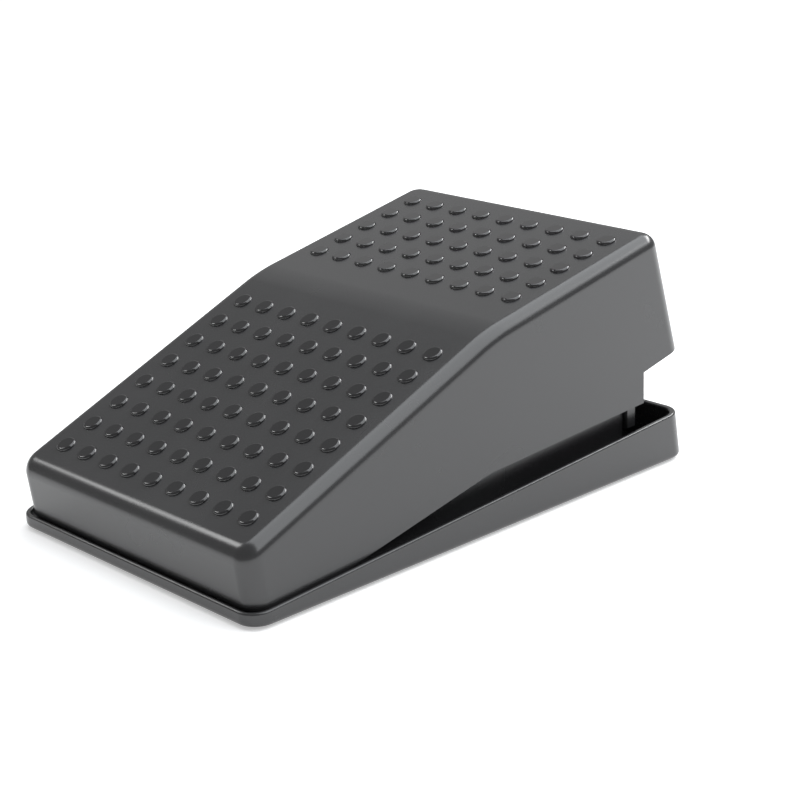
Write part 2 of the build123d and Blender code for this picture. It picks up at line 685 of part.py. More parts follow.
# Lever switch: case, terminals, plunger, lever and the pin that the lever swings on
SWITCH_SIDE = Plane(
    origin=(PIVOT_X, SWITCH_Y, PIVOT_Z), x_dir=(-1, 0, 0), z_dir=(0, 1, 0)
)
plunger_x = PIVOT_X - PLUNGER_FROM_PIVOT
lug_inside = LEVER_WIDTH / 2 + LEVER_PIN_CLEARANCE
with BuildPart() as switch_body:
    with BuildSketch(Plane.XY.offset(SWITCH_BOTTOM)):
        with Locations((SWITCH_X, SWITCH_Y)):
            Rectangle(SWITCH_LENGTH, SWITCH_WIDTH)
    extrude(amount=SWITCH_HEIGHT)
    # Two fixing holes through the case
    with BuildSketch(SWITCH_SIDE.offset(-SWITCH_WIDTH / 2)):
        with Locations((PIVOT_X - SWITCH_X, SWITCH_BOTTOM + SWITCH_HOLE_RISE - PIVOT_Z)):
            with GridLocations(SWITCH_HOLE_PITCH, SWITCH_HEIGHT, 2, 1):
                Circle(SWITCH_HOLE_RADIUS)
    extrude(amount=SWITCH_WIDTH, mode=Mode.SUBTRACT)
    # Two lugs that hold the pin of the lever
    for side in (-1, 1):
        with BuildSketch(SWITCH_SIDE.offset(side * lug_inside)):
            Circle(LUG_RADIUS)
            with Locations((0, -PIVOT_RISE / 2)):
                Rectangle(2 * LUG_RADIUS, PIVOT_RISE)
            Circle(LEVER_PIN_RADIUS, mode=Mode.SUBTRACT)
        extrude(amount=side * LUG_THICKNESS)
    # Slot that guides the plunger
    with BuildSketch(Plane.XY.offset(SWITCH_TOP)):
        with Locations((plunger_x, SWITCH_Y)):
            Rectangle(
                PLUNGER_LENGTH + 2 * PLUNGER_CLEARANCE,
                PLUNGER_WIDTH + 2 * PLUNGER_CLEARANCE,
            )
    extrude(amount=-PLUNGER_DEPTH - PLUNGER_TRAVEL - PLUNGER_CLEARANCE, mode=Mode.SUBTRACT)
save(switch_body, "switch_body")

with BuildPart() as switch_terminals:
    with BuildSketch(Plane.XY.offset(SWITCH_BOTTOM)):
        with Locations(TERMINAL_SPOTS):
            Rectangle(TERMINAL_THICKNESS, TERMINAL_WIDTH)
    extrude(amount=-TERMINAL_LENGTH)
save(switch_terminals, "switch_terminals")

with BuildPart() as switch_plunger:
    with BuildSketch(Plane.XY.offset(SWITCH_TOP - PLUNGER_DEPTH)):
        with Locations((plunger_x, SWITCH_Y)):
            Rectangle(PLUNGER_LENGTH, PLUNGER_WIDTH)
    extrude(amount=PLUNGER_DEPTH + PLUNGER_PROUD)
    top = switch_plunger.faces().sort_by(Axis.Z)[-1]
    fillet(top.edges().filter_by(Axis.Y), PLUNGER_ROUND)
save(switch_plunger, "switch_plunger")

with BuildPart() as switch_lever:
    with BuildSketch(SWITCH_SIDE) as lever_profile:
        with Locations(Rotation(0, 0, LEVER_ANGLE)):
            with Locations((LEVER_REACH / 2, 0)):
                Rectangle(LEVER_REACH, LEVER_THICKNESS)
        Circle(LEVER_BARREL)
        Circle(LEVER_PIN_RADIUS + LEVER_PIN_CLEARANCE, mode=Mode.SUBTRACT)
    extrude(amount=LEVER_WIDTH / 2, both=True)
    tip = switch_lever.faces().sort_by(Axis.X)[0]
    fillet(tip.edges().filter_by(lambda e: abs(e.tangent_at(0.5).Y) < 0.1), LEVER_CORNER)
save(switch_lever, "switch_lever")

with BuildPart() as lever_pin:
    with BuildSketch(SWITCH_SIDE):
        Circle(LEVER_PIN_RADIUS)
    extrude(amount=lug_inside + LUG_THICKNESS, both=True)
save(lever_pin, "lever_pin")

# Controller chip and its two rows of bent leads
chip_bottom = BOARD_TOP + CHIP_STANDOFF
lead_z = chip_bottom + CHIP_HEIGHT / 2
with BuildPart() as controller_chip:
    with BuildSketch(Plane.XY.offset(chip_bottom)):
        with Locations((CHIP_X, SWITCH_Y)):
            Rectangle(CHIP_WIDTH, CHIP_LENGTH)
    extrude(amount=CHIP_HEIGHT)
    chip_top = controller_chip.faces().sort_by(Axis.Z)[-1]
    chamfer(chip_top.edges(), CHIP_CHAMFER)
save(controller_chip, "controller_chip")

lead_middle = LEAD_REACH / 2
lead_profile = [
    (0, lead_z),
    (lead_middle, lead_z),
    (lead_middle, BOARD_TOP + LEAD_THICKNESS),
    (LEAD_REACH, BOARD_TOP + LEAD_THICKNESS),
    (LEAD_REACH, BOARD_TOP),
    (lead_middle - LEAD_THICKNESS, BOARD_TOP),
    (lead_middle - LEAD_THICKNESS, lead_z - LEAD_THICKNESS),
    (0, lead_z - LEAD_THICKNESS),
]
with BuildPart() as chip_leads:
    for side in (-1, 1):
        root_x = CHIP_X + side * CHIP_WIDTH / 2
        for lead in range(CHIP_LEADS):
            lead_y = SWITCH_Y + (lead - (CHIP_LEADS - 1) / 2) * LEAD_PITCH
            with BuildSketch(Plane.XZ.offset(-lead_y)):
                with BuildLine():
                    Polyline([(root_x + side * x, z) for x, z in lead_profile], close=True)
                make_face()
            extrude(amount=LEAD_WIDTH / 2, both=True)
save(chip_leads, "chip_leads")

# Crystal in its flanged can
crystal_y = SWITCH_Y + SWITCH_WIDTH / 2 + CRYSTAL_FROM_SWITCH + CRYSTAL_WIDTH / 2
with BuildPart() as crystal:
    with BuildSketch(Plane.XY.offset(BOARD_TOP)):
        with Locations((CRYSTAL_X, crystal_y)):
            SlotOverall(CRYSTAL_LENGTH, CRYSTAL_WIDTH)
    extrude(amount=CRYSTAL_FLANGE)
    with BuildSketch(Plane.XY.offset(BOARD_TOP)):
        with Locations((CRYSTAL_X, crystal_y)):
            SlotOverall(
                CRYSTAL_LENGTH - 2 * CRYSTAL_FLANGE, CRYSTAL_WIDTH - 2 * CRYSTAL_FLANGE
            )
    extrude(amount=CRYSTAL_HEIGHT)
save(crystal, "crystal")


def chip_parts(name, row_y):
    # Small blocks with a wider metal cap at each end, in one row on the board.
    cap_spread = CHIP_PART_LENGTH - CHIP_PART_CAP
    with BuildPart() as row:
        with BuildSketch(Plane.XY.offset(BOARD_TOP)):
            with Locations((SWITCH_X, row_y)):
                with GridLocations(CHIP_PART_PITCH, CHIP_PART_WIDTH, CHIP_PART_COUNT, 1):
                    Rectangle(cap_spread, CHIP_PART_WIDTH - 2 * CHIP_PART_INSET)
                    with GridLocations(cap_spread, CHIP_PART_WIDTH, 2, 1):
                        Rectangle(CHIP_PART_CAP, CHIP_PART_WIDTH)
        extrude(amount=CHIP_PART_HEIGHT)
    save(row, name)


capacitor_row_y = SWITCH_Y - SWITCH_WIDTH / 2 - CHIP_PART_ROW_GAP
chip_parts("ceramic_capacitors", capacitor_row_y)
chip_parts("resistors", capacitor_row_y - CHIP_PART_ROW_GAP)

# Electrolytic capacitor
with BuildPart() as electrolytic_capacitor:
    with BuildSketch(Plane.XY.offset(BOARD_TOP)):
        with Locations((CAPACITOR_X, crystal_y)):
            Circle(CAPACITOR_RADIUS)
    extrude(amount=CAPACITOR_HEIGHT)
save(electrolytic_capacitor, "electrolytic_capacitor")

# Cable header: an open-topped socket with one square pin for each wire
header_length = HEADER_PITCH * (HEADER_PINS - 1) + 2 * HEADER_END
with BuildPart() as cable_header:
    with BuildSketch(Plane.XY.offset(BOARD_TOP)):
        with Locations((HEADER_X, HEADER_Y)):
            Rectangle(header_length, HEADER_WIDTH)
    extrude(amount=HEADER_HEIGHT)
    with BuildSketch(Plane.XY.offset(BOARD_TOP + HEADER_HEIGHT)):
        with Locations((HEADER_X, HEADER_Y)):
            Rectangle(header_length - 2 * HEADER_WALL, HEADER_WIDTH - 2 * HEADER_WALL)
        with Locations((HEADER_X, HEADER_Y + HEADER_WIDTH / 2)):
            Rectangle(HEADER_PITCH, 2 * HEADER_WALL)
    extrude(amount=2 * HEADER_WALL - HEADER_HEIGHT, mode=Mode.SUBTRACT)
    with BuildSketch(Plane.XY.offset(BOARD_TOP)):
        with Locations(HEADER_SPOTS):
            Rectangle(HEADER_PIN, HEADER_PIN)
    extrude(amount=HEADER_HEIGHT, mode=Mode.SUBTRACT)
save(cable_header, "cable_header")

with BuildPart() as header_pins:
    with BuildSketch(Plane.XY.offset(BOARD_BOTTOM - HEADER_WALL)):
        with Locations(HEADER_SPOTS):
            Rectangle(HEADER_PIN, HEADER_PIN)
    extrude(amount=HEADER_WALL + BOARD_THICKNESS + HEADER_HEIGHT - HEADER_WALL)
save(header_pins, "header_pins")
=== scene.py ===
# %% [markdown]
# This lesson dresses a foot switch: a hollow wedge pedal hinged over a shallow tray. The solid model
# of the same product comes in as a fixed frame. Every piece that is modelled here is put where the
# frame says, so the looks and the mechanism stay one object.

# %% Load the frame
import json
from math import cos, pi, radians, sin, tan

import bmesh
import bpy
from mathutils import Matrix, Vector

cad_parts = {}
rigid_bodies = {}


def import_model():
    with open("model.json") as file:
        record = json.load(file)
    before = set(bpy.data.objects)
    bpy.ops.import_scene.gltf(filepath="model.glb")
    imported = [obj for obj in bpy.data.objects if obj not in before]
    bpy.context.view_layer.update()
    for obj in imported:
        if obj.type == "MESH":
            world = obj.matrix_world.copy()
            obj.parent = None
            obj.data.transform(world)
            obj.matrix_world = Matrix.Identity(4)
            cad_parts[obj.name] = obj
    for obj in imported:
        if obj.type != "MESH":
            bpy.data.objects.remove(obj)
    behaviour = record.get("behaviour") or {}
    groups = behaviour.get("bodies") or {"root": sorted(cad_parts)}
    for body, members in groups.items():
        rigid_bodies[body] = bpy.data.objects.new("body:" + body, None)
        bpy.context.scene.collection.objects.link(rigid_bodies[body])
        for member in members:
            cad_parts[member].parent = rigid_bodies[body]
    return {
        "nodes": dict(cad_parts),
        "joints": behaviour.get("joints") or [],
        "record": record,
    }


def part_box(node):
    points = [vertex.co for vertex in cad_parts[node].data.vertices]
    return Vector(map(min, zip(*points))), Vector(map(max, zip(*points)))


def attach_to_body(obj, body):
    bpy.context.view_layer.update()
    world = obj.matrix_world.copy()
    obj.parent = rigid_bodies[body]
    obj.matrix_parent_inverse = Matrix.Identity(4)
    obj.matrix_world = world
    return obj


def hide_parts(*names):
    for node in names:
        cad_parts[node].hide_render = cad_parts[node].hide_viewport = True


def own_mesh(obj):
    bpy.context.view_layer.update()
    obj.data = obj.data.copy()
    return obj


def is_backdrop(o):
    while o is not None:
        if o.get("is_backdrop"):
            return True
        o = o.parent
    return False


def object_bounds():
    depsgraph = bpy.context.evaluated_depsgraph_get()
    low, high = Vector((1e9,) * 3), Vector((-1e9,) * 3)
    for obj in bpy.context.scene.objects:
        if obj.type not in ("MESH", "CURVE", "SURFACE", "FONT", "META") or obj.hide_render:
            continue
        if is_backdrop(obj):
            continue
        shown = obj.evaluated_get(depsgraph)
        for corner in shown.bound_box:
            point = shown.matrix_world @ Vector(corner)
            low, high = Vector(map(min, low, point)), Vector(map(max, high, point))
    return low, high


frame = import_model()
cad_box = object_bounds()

# %% [markdown]
# Sizes come first, each one named once. They repeat the product's driving sizes, in metres, because
# Blender works in metres. What can be read from the frame is read from it: the pedal's half width
# and height, and the width and length of the tray.

# %% Sizes of the pedal and the tray
MM = 0.001
FRONT_SLOPE = radians(22.6)
REAR_SLOPE = radians(11.6)
FRONT_LEAN = radians(7.0)
BACK_LEAN = radians(15.5)
BEND_Y = 2.75 * MM
BEND_RADIUS = 30 * MM
EDGE_RADIUS = 2.4 * MM
CORNER_RADIUS = 3.2 * MM
CROWN_INSET = 8.2 * MM
LIP_HEIGHT = 20.4 * MM
LIP_DEPTH = 10.8 * MM
LIP_SLOPE = radians(12.6)
PEDAL_WALL = 2 * MM
PEDAL_EDGE = 0.28 * MM
SHARP_ANGLE = radians(40)
KINK = Vector((0, 1.2 * MM, 10.4 * MM))
SKIRT_FRONT_SLOPE = radians(12.0)
SKIRT_REAR_SLOPE = radians(3.15)

TRAY_WALL = 0.9 * MM
TRAY_REAR_WALL = 1.3 * MM
TRAY_BOTTOM = 0.4 * MM
TRAY_FLOOR = 2.0 * MM
TRAY_CORNER = 3.7 * MM
TRAY_FOOT_ROUND = 0.9 * MM
TRAY_REAR_LEAN = radians(8.7)
RIM_HEIGHT = 6.0 * MM
RIM_SLOPE = radians(3.7)
RIM_ROUND = 0.4 * MM

pedal_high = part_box("pedal_cover")[1]
tray_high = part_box("base_tray")[1]
PEDAL_HALF = pedal_high.x
PEDAL_BOTTOM = 2.5 * MM
PEDAL_FRONT = -48.7 * MM
TONGUE_BOTTOM = 7.88 * MM
HALF_WIDTH = tray_high.x
HALF_LENGTH = cad_box[1].y
HEIGHT = pedal_high.z
REAR_WALL_Y = HALF_LENGTH - LIP_DEPTH
crown = Vector((0, HALF_LENGTH - CROWN_INSET, HEIGHT - EDGE_RADIUS))
PEDAL_INSIDE = PEDAL_HALF - PEDAL_WALL


def slope_normal(angle):
    """The upward normal of a surface that rises towards +Y at this angle."""
    return Vector((0, -sin(angle), cos(angle)))


front_normal = slope_normal(FRONT_SLOPE)
rear_normal = slope_normal(REAR_SLOPE)
back_normal = Vector((0, cos(BACK_LEAN), sin(BACK_LEAN)))
rear_point = crown + rear_normal * EDGE_RADIUS
back_point = crown + back_normal * EDGE_RADIUS
bend = Vector((0, BEND_Y, rear_point.z + (BEND_Y - rear_point.y) * tan(REAR_SLOPE)))
print("bend of the pedal at", [round(c / MM, 2) for c in bend])

# %% [markdown]
# Modelling in a script follows the same steps as modelling by hand: add a primitive, go into edit
# mode, select something, run an operator. A person selects with the mouse. Here a test picks what is
# selected, by its place or by the way it faces.


# %% Helpers for modelling
def add_box(name, low, high):
    """A cube primitive stretched between two corners, its place kept in its mesh."""
    bpy.ops.object.select_all(action="DESELECT")
    low, high = Vector(low), Vector(high)
    bpy.ops.mesh.primitive_cube_add(size=1, location=(low + high) / 2, scale=high - low)
    return settle(name)


def add_disc(name, centre, radius, depth, sides=48, turn=(0, 0, 0)):
    """A cylinder primitive with its middle at centre."""
    bpy.ops.object.select_all(action="DESELECT")
    bpy.ops.mesh.primitive_cylinder_add(
        vertices=sides, radius=radius, depth=depth, location=centre, rotation=turn
    )
    return settle(name)


def settle(name):
    """Name the active object and move its place, turn and scale into its mesh."""
    piece = bpy.context.object
    piece.name = name
    piece.data.name = name
    bpy.ops.object.transform_apply(location=True, rotation=True, scale=True)
    return piece


def edit(piece):
    """Go into edit mode on one piece, with nothing selected."""
    bpy.ops.object.select_all(action="DESELECT")
    bpy.context.view_layer.objects.active = piece
    piece.select_set(True)
    bpy.ops.object.mode_set(mode="EDIT")
    bpy.ops.mesh.select_all(action="DESELECT")


def done():
    bpy.ops.object.mode_set(mode="OBJECT")


def pick(kind, test, within=False):
    """Select the verts, edges or faces that pass a test, or only those already selected."""
    data = bpy.context.object.data
    shape = bmesh.from_edit_mesh(data)
    chosen = [
        part for part in getattr(shape, kind) if (part.select or not within) and test(part)
    ]
    bpy.ops.mesh.select_all(action="DESELECT")
    shape.select_mode = {{"verts": "VERT", "edges": "EDGE", "faces": "FACE"}[kind]}
    bpy.context.tool_settings.mesh_select_mode = [kind == k for k in ("verts", "edges", "faces")]
    for part in chosen:
        part.select_set(True)
    shape.select_flush_mode()
    bmesh.update_edit_mesh(data)
    return len(chosen)


def middle(part):
    """The middle of an edge."""
    return (part.verts[0].co + part.verts[1].co) / 2


def upright(edge):
    """True if an edge stands within about 25 degrees of straight up."""
    run = edge.verts[1].co - edge.verts[0].co
    return abs(run.normalized().z) > 0.9


def cut(point, normal, clear=True, fill=True):
    """Bisect what is selected, and clear the side that the normal points to."""
    bpy.ops.mesh.bisect(
        plane_co=point, plane_no=normal, use_fill=fill, clear_outer=clear, threshold=1e-7
    )


def move(offset):
    bpy.ops.transform.translate(value=offset)


def bevel(width, segments):
    bpy.ops.mesh.bevel(offset=width, segments=segments, affect="EDGES", clamp_overlap=False)


def modify(piece, kind, **settings):
    """Add a modifier and apply it at once, as the object menu's Apply does."""
    bpy.ops.object.select_all(action="DESELECT")
    bpy.context.view_layer.objects.active = piece
    piece.select_set(True)
    modifier = piece.modifiers.new(kind.title(), kind)
    for setting, value in settings.items():
        setattr(modifier, setting, value)
    bpy.ops.object.modifier_apply(modifier=modifier.name)


def join(pieces, name):
    """Join pieces into the first one."""
    bpy.ops.object.select_all(action="DESELECT")
    for piece in pieces:
        piece.select_set(True)
    bpy.context.view_layer.objects.active = pieces[0]
    bpy.ops.object.join()
    pieces[0].name = name
    pieces[0].data.name = name
    return pieces[0]


def combine(piece, others, how):
    """Weld other bodies to a piece, or cut them out of it, and delete them."""
    tool = join(others, "tool") if len(others) > 1 else others[0]
    modify(piece, "BOOLEAN", operation=how, object=tool, solver="EXACT", use_self=True)
    bpy.data.objects.remove(tool)


def smooth(piece, angle=radians(30)):
    """Smooth shading with sharp edges kept, the large flat faces setting the normals."""
    bpy.ops.object.select_all(action="DESELECT")
    bpy.context.view_layer.objects.active = piece
    piece.select_set(True)
    bpy.ops.object.shade_smooth_by_angle(angle=angle)
    modify(piece, "WEIGHTED_NORMAL", keep_sharp=True, weight=100)


def report(piece):
    low = [round(min(v.co[i] for v in piece.data.vertices) / MM, 2) for i in range(3)]
    high = [round(max(v.co[i] for v in piece.data.vertices) / MM, 2) for i in range(3)]
    print(f"{piece.name}: {len(piece.data.polygons)} faces, from {low} to {high} mm")


# %% [markdown]
# The pedal cover is one moulding. Its body is a block with sloping cuts, so it starts as a cube and
# loses its front, its two top panels and nothing else. Bisecting by planes gives exact slopes, where
# moving corners by eye would not. The front corners are rounded first. Then the upper part of the
# rear wall is drawn out into the lip, with a sharp inner corner under it, and the lip's own two
# upright corners get the same rounding.

# %% Block out the pedal
SPARE = 10 * MM

pedal = add_box(
    "pedal_shell",
    (-PEDAL_HALF, PEDAL_FRONT - SPARE, 0),
    (PEDAL_HALF, REAR_WALL_Y, HEIGHT + SPARE),
)
edit(pedal)
for point, normal in (
    (Vector((0, PEDAL_FRONT, PEDAL_BOTTOM)), Vector((0, -cos(FRONT_LEAN), -sin(FRONT_LEAN)))),
    (bend, front_normal),
    (bend, rear_normal),
):
    bpy.ops.mesh.select_all(action="SELECT")
    cut(point, normal)
pick("edges", lambda e: upright(e) and middle(e).y < 0)
bevel(CORNER_RADIUS, 8)


def back_y(z):
    """Where the leaning back face stands at a height."""
    return back_point.y + (back_point.z - z) * tan(BACK_LEAN)


def faces_back(face):
    return face.normal.y > 0.05 and abs(face.normal.z) < 0.1


panel_z_at_centre = rear_point.z - rear_point.y * tan(REAR_SLOPE)
back_top_y = back_y(panel_z_at_centre) / (1 + tan(REAR_SLOPE) * tan(BACK_LEAN))
top_reach = back_top_y - REAR_WALL_Y
lip_reach = back_y(LIP_HEIGHT) - REAR_WALL_Y
notch = Vector((0, REAR_WALL_Y, LIP_HEIGHT - lip_reach * tan(LIP_SLOPE)))
under_lip = slope_normal(LIP_SLOPE)


def above_notch(part_middle):
    return (part_middle - notch).dot(under_lip) > 0.01 * MM


along_panel = Vector((0, top_reach, top_reach * tan(REAR_SLOPE)))
along_underside = Vector((0, lip_reach, lip_reach * tan(LIP_SLOPE)))
pick("faces", faces_back)
cut(notch, under_lip, clear=False, fill=False)
pick("faces", lambda f: faces_back(f) and above_notch(f.calc_center_median()))
bpy.ops.mesh.extrude_region_move(TRANSFORM_OT_translate={"value": along_panel})
pick("verts", lambda v: v.co.z < LIP_HEIGHT + 4 * MM, within=True)
move(along_underside - along_panel)
bpy.ops.mesh.select_all(action="SELECT")
bpy.ops.mesh.dissolve_limited(angle_limit=radians(1))
pick("edges", lambda e: upright(e) and middle(e).y > REAR_WALL_Y + MM)
bevel(CORNER_RADIUS, 8)
done()
report(pedal)

# %% [markdown]
# Now the roundings. The two panels meet in a soft bend of 30 mm radius. The rim of the top is a
# fillet that runs all round, and it is what catches the light as a bright band in the photograph.
# Both are bevels in edit mode: the bend first, because the rim has to follow it.


# %% Round the bend and the rim
def on_bend(edge):
    spot = middle(edge)
    return abs(spot.x) < MM and abs(spot.y - bend.y) < MM and spot.z > bend.z - MM


def on_rim(edge):
    """True if an edge parts a top panel from a wall."""
    if len(edge.link_faces) != 2:
        return False
    low, high = sorted(face.normal.z for face in edge.link_faces)
    return high > 0.85 and low < 0.5


edit(pedal)
pick("edges", on_bend)
bevel(BEND_RADIUS * tan((FRONT_SLOPE - REAR_SLOPE) / 2), 6)
print("rim edges:", pick("edges", on_rim))
bevel(EDGE_RADIUS, 8)
done()
report(pedal)

# %% [markdown]
# The skirt of the cover is its lower edge: low at the front, then rising in two slopes, so that a
# dark wedge of a gap opens over the tray. The block is cut along those slopes, which also takes
# its bottom away and leaves a skin. Only the wall under the lip reaches down again, behind the rim
# of the tray. Solidify then gives the skin the thickness of a moulded wall, inwards.
# It is used in its complex mode, because the simple one throws a spike out of the sharp inner corner
# of the notch.


# %% Cut the skirt and give the skin its wall
def ahead_of_kink(face):
    return face.calc_center_median().y < KINK.y


def skirt_z(y):
    slope = SKIRT_REAR_SLOPE if y > KINK.y else SKIRT_FRONT_SLOPE
    return max(PEDAL_BOTTOM, KINK.z + (y - KINK.y) * tan(slope))


def below_skirt(face):
    spot = face.calc_center_median()
    return spot.z < skirt_z(spot.y)


edit(pedal)
pick("faces", lambda f: abs(f.normal.x) > 0.99 or f.normal.z < -0.99)
cut(KINK, Vector((0, 1, 0)), clear=False, fill=False)
pick("faces", lambda f: not ahead_of_kink(f))
cut(KINK, slope_normal(SKIRT_REAR_SLOPE), clear=False, fill=False)
pick("faces", ahead_of_kink)
cut(KINK, slope_normal(SKIRT_FRONT_SLOPE), clear=False, fill=False)
pick("faces", ahead_of_kink)
cut(Vector((0, 0, PEDAL_BOTTOM)), Vector((0, 0, 1)), clear=False, fill=False)
print("faces below the skirt:", pick("faces", below_skirt))
bpy.ops.mesh.delete(type="FACE")
for side in (-1, 1):
    pick("faces", lambda f: f.normal.y > 0.99 and f.calc_center_median().y < REAR_WALL_Y + 0.1 * MM)
    cut(Vector((side * PEDAL_INSIDE, 0, 0)), Vector((1, 0, 0)), clear=False, fill=False)
pick("edges", lambda e: e.is_boundary and abs(middle(e).x) < MM and middle(e).y > REAR_WALL_Y - MM)
bpy.ops.mesh.extrude_region_move(
    TRANSFORM_OT_translate={"value": (0, 0, TONGUE_BOTTOM - skirt_z(REAR_WALL_Y))}
)
done()
modify(
    pedal,
    "SOLIDIFY",
    thickness=PEDAL_WALL,
    offset=-1,
    solidify_mode="NON_MANIFOLD",
    nonmanifold_thickness_mode="CONSTRAINTS",
)
report(pedal)
modify(pedal, "BEVEL", width=PEDAL_EDGE, segments=3, angle_limit=SHARP_ANGLE, use_clamp_overlap=True)
report(pedal)

# %% [markdown]
# Under the panels the moulding carries what a moulded cover needs: two long ribs, the two ears of
# the hinge, a cross of fins that presses the return spring and a slimmer cross that presses the
# switch. Each starts as a box or a disc and is shaped where it stands. It is cut off in the middle
# of the wall and joined to the cover, so that it grows out of the wall. A Boolean would weld them
# too, but on a shell with this many fine bevels it takes minutes, and the seam is never seen.

# %% Model the fittings under the panels
FIN = 1.4 * MM
RIB_X = 11 * MM
RIB_DEPTH = 3 * MM
EAR_RADIUS = 3.1 * MM
EAR_THICKNESS = 2.6 * MM
EAR_GAP = 0.4 * MM
PIN_CLEARANCE = 0.08 * MM
END_GAP = 0.15 * MM
BOSS_REACH = 6.4 * MM
PEG_REACH = 2.8 * MM
PEG_HEIGHT = 2.6 * MM
ACTUATOR_FIN = 1.2 * MM
ACTUATOR_REACH = 4.2 * MM
ACTUATOR_TIP = 1.7 * MM
ACTUATOR_STEP = 2 * MM
ACTUATOR_FROM_PIVOT = 15 * MM
RING_THICKNESS = 0.6 * MM
LEVER_PITCH = radians(10)
LEVER_THICKNESS = 0.5 * MM
LEVER_GAP = 0.3 * MM

joint_at = {joint["name"]: Vector(joint.get("pos_m", (0, 0, 0))) for joint in frame["joints"]}
pin_low, pin_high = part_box("hinge_pin")
hinge = Vector((0, (pin_low.y + pin_high.y) / 2, (pin_low.z + pin_high.z) / 2))
pin_radius = (pin_high.z - pin_low.z) / 2
ring_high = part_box("pin_retaining_rings")[1]
pedal_ear_face = ring_high.x - RING_THICKNESS - EAR_GAP
spring_low, spring_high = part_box("return_spring")
spring_y = (spring_low.y + spring_high.y) / 2
actuator_at = joint_at["lever_pivot"] - Vector((ACTUATOR_FROM_PIVOT, 0, 0))
lever_top = (
    actuator_at.z
    + ACTUATOR_FROM_PIVOT * tan(LEVER_PITCH)
    + LEVER_THICKNESS / 2 / cos(LEVER_PITCH)
)
actuator_end = lever_top + ACTUATOR_TIP * tan(LEVER_PITCH) + LEVER_GAP


def under_panels(piece):
    """Cut a piece off along the middle of the pedal's wall, under both panels."""
    edit(piece)
    for normal in (front_normal, rear_normal):
        bpy.ops.mesh.select_all(action="SELECT")
        cut(bend - normal * PEDAL_WALL / 2, normal)
    done()
    return piece


def cross(name, centre, reach, thickness, bottom):
    """Two crossed fins from a height up to the ceiling."""
    fins = [
        add_box(name, (centre.x - a, centre.y - b, bottom), (centre.x + a, centre.y + b, HEIGHT))
        for a, b in ((reach, thickness / 2), (thickness / 2, reach))
    ]
    combine(fins[0], fins[1:], "UNION")
    return under_panels(fins[0])


def ear(name, side, inner, top, hole):
    """A hinge ear: a disc round the pin, its upper or lower half drawn out to a wall, and bored."""
    centre = Vector((side * (inner + EAR_THICKNESS / 2), hinge.y, hinge.z))
    piece = add_disc(name, centre, EAR_RADIUS, EAR_THICKNESS, turn=(0, pi / 2, 0))
    edit(piece)
    away = 1 if top > hinge.z else -1
    pick("verts", lambda v: (v.co.z - hinge.z) * away > 0)
    bpy.ops.transform.resize(value=(1, 1, 0), center_override=hinge)
    move((0, 0, top - hinge.z))
    done()
    bore = add_disc("bore", centre, hole, 2 * EAR_THICKNESS, turn=(0, pi / 2, 0))
    combine(piece, [bore], "DIFFERENCE")
    return piece


ceiling = bend.z + (PEDAL_FRONT - bend.y) * tan(FRONT_SLOPE) - PEDAL_WALL / 2 / cos(FRONT_SLOPE)
fittings = []
for side in (-1, 1):
    x = side * RIB_X
    rib = add_box(
        "rib", (x - FIN / 2, PEDAL_FRONT, ceiling - RIB_DEPTH - MM), (x + FIN / 2, bend.y, ceiling)
    )
    edit(rib)
    pick("verts", lambda v: v.co.y > 0)
    move((0, 0, (bend.y - PEDAL_FRONT) * tan(FRONT_SLOPE)))
    pick("faces", lambda f: f.normal.y > 0.9)
    run = REAR_WALL_Y - MM - bend.y
    bpy.ops.mesh.extrude_region_move(
        TRANSFORM_OT_translate={"value": (0, run, run * tan(REAR_SLOPE))}
    )
    done()
    fittings.append(rib)
    inner = pedal_ear_face - EAR_THICKNESS
    fittings.append(
        under_panels(ear("pedal_ear", side, inner, HEIGHT / 2, pin_radius + PIN_CLEARANCE))
    )
boss_at = Vector((0, spring_y, 0))
boss_bottom = spring_high.z + END_GAP
fittings += [
    cross("boss", boss_at, BOSS_REACH, FIN, boss_bottom),
    cross("boss_tip", boss_at, PEG_REACH, FIN, boss_bottom - PEG_HEIGHT),
    cross("actuator", actuator_at, ACTUATOR_REACH, ACTUATOR_FIN, actuator_end + ACTUATOR_STEP),
    cross("actuator_tip", actuator_at, ACTUATOR_TIP, ACTUATOR_FIN, actuator_end),
]
pedal = join([pedal] + fittings, "pedal_shell")
report(pedal)

# %% [markdown]
# The grip studs are what the eye goes to first. Each is a low round button with a flat top and a
# soft shoulder, raised a little under half a millimetre. One is modelled and copied in rows of nine,
# eight rows down the front panel and five up the rear one, square to the panel that it stands on.

# %% Model one stud and copy it over both panels
STUD_PITCH = 6 * MM
STUD_RADIUS = 1.7 * MM
STUD_HEIGHT = 0.45 * MM
STUD_ROUND = 0.42 * MM
STUD_ROOT = 0.1 * MM
STUD_COLUMNS = 9
FRONT_ROWS = 8
REAR_ROWS = 5
FRONT_FIRST_ROW = 8.4 * MM
REAR_FIRST_ROW = 10.6 * MM
STUD_SHARP_ANGLE = radians(50)

stud_middle = (0, 0, (STUD_HEIGHT - STUD_ROOT) / 2)
stud = add_disc("stud", stud_middle, STUD_RADIUS, STUD_HEIGHT + STUD_ROOT, 32)
edit(stud)
pick("edges", lambda e: min(v.co.z for v in e.verts) > STUD_HEIGHT - 0.01 * MM)
bevel(STUD_ROUND, 5)
pick("faces", lambda f: f.normal.z < -0.9)
bpy.ops.mesh.delete(type="ONLY_FACE")
done()


def copy_to(piece, matrix):
    """A copy of a piece with its own mesh, moved in its mesh."""
    twin = piece.copy()
    twin.data = piece.data.copy()
    twin.data.transform(matrix)
    bpy.context.collection.objects.link(twin)
    return twin


